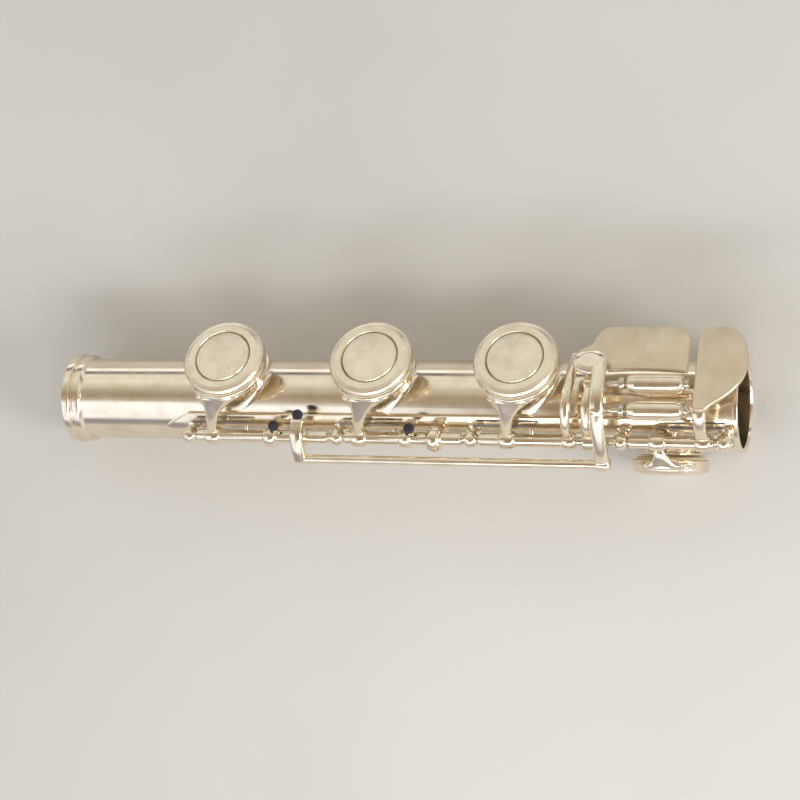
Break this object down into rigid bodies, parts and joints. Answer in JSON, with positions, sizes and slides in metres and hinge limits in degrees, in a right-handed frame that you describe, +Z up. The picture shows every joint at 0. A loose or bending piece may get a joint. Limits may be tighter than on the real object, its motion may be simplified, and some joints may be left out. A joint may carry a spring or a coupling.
{
  "type": "concert flute foot joint",
  "caption": "Silver-plated low-B foot joint of a concert flute: socketed tube with sprung padded keys on side hinge rods, touch plates and spinning rollers.",
  "frame": {"origin": "middle of the bottom of the bounding box, on the surface that the foot joint lies on", "axes": "+X along the tube from the open end to the socket, +Z up as it lies on a table with its keys up, -Y on the side of the hinge rod"},
  "size_m": [0.1704, 0.0338, 0.032],
  "materials": {
    "silver_plate": "polished silver plate with a warm tone and fine handling wear",
    "rod_steel": "drawn and polished hinge steel",
    "spring_steel": "blued needle spring",
    "pad_skin": "thin translucent skin over felt, slightly creased",
    "bumper_felt": "dense dark felt"
  },
  "bodies": {
    "b_key": {"b_bridge_link": "silver_plate", "b_bridge_rod": "silver_plate", "b_bumper": "bumper_felt", "b_cup": "silver_plate", "b_cup_arm": "silver_plate", "b_hinge_tube": "silver_plate", "b_lever_arm": "silver_plate", "b_link_bumper": "bumper_felt", "b_pad": "pad_skin", "b_roller_axle": "rod_steel"},
    "tube_body": {"b_hinge_steel": "rod_steel", "b_spring": "spring_steel", "body_tube": "silver_plate", "c_sharp_spring": "spring_steel", "c_spring": "spring_steel", "d_sharp_hinge_steel": "rod_steel", "d_sharp_spring": "spring_steel", "end_ring": "silver_plate", "post_1": "silver_plate", "post_2": "silver_plate", "post_3": "silver_plate", "post_4": "silver_plate", "post_5": "silver_plate", "post_rib": "silver_plate", "socket_sleeve": "silver_plate"},
    "b_roller": {"b_roller": "silver_plate"},
    "c_key": {"c_bumper": "bumper_felt", "c_cup": "silver_plate", "c_cup_arm": "silver_plate", "c_hinge_steel": "rod_steel", "c_hinge_tube": "silver_plate", "c_lever_arm": "silver_plate", "c_pad": "pad_skin", "c_roller_axle": "rod_steel"},
    "c_roller": {"c_roller": "silver_plate"},
    "c_sharp_key": {"c_sharp_cup": "silver_plate", "c_sharp_cup_arm": "silver_plate", "c_sharp_hinge_tube": "silver_plate", "c_sharp_pad": "pad_skin", "c_sharp_touch": "silver_plate", "c_sharp_touch_arm": "silver_plate"},
    "d_sharp_key": {"d_sharp_cup": "silver_plate", "d_sharp_cup_arm": "silver_plate", "d_sharp_hinge_tube": "silver_plate", "d_sharp_pad": "pad_skin", "d_sharp_touch": "silver_plate", "d_sharp_touch_arm": "silver_plate"}
  },
  "joints": [
    {"name": "b_key_hinge", "type": "hinge", "parent": "tube_body", "child": "b_key", "pos_m": [0, -0.01025, 0.02101], "axis": [1, 0, 0], "range_deg": [-14, 0], "stiffness_Nm_per_rad": 0.02, "springref_deg": 20.05},
    {"name": "c_key_hinge", "type": "hinge", "parent": "tube_body", "child": "c_key", "pos_m": [0, -0.01025, 0.02101], "axis": [1, 0, 0], "range_deg": [-14, 0], "stiffness_Nm_per_rad": 0.02, "springref_deg": 20.05},
    {"name": "c_sharp_key_hinge", "type": "hinge", "parent": "tube_body", "child": "c_sharp_key", "pos_m": [0, -0.01025, 0.02101], "axis": [1, 0, 0], "range_deg": [-14, 0], "stiffness_Nm_per_rad": 0.02, "springref_deg": 20.05},
    {"name": "d_sharp_key_hinge", "type": "hinge", "parent": "tube_body", "child": "d_sharp_key", "pos_m": [0, -0.01025, 0.02101], "axis": [1, 0, 0], "range_deg": [-12, 0], "stiffness_Nm_per_rad": 0.02, "springref_deg": 20.05},
    {"name": "b_roller_spin", "type": "hinge", "parent": "b_key", "child": "b_roller", "pos_m": [0.0647, -0.0037, 0.02612], "axis": [1, 0, 0], "continuous": true},
    {"name": "c_roller_spin", "type": "hinge", "parent": "c_key", "child": "c_roller", "pos_m": [0.0647, 0.00225, 0.02659], "axis": [1, 0, 0], "continuous": true}
  ],
  "couplings": [
    {"joint": "c_key_hinge", "follows": "b_key_hinge", "ratio": 1},
    {"joint": "c_sharp_key_hinge", "follows": "b_key_hinge", "ratio": 1}
  ]
}
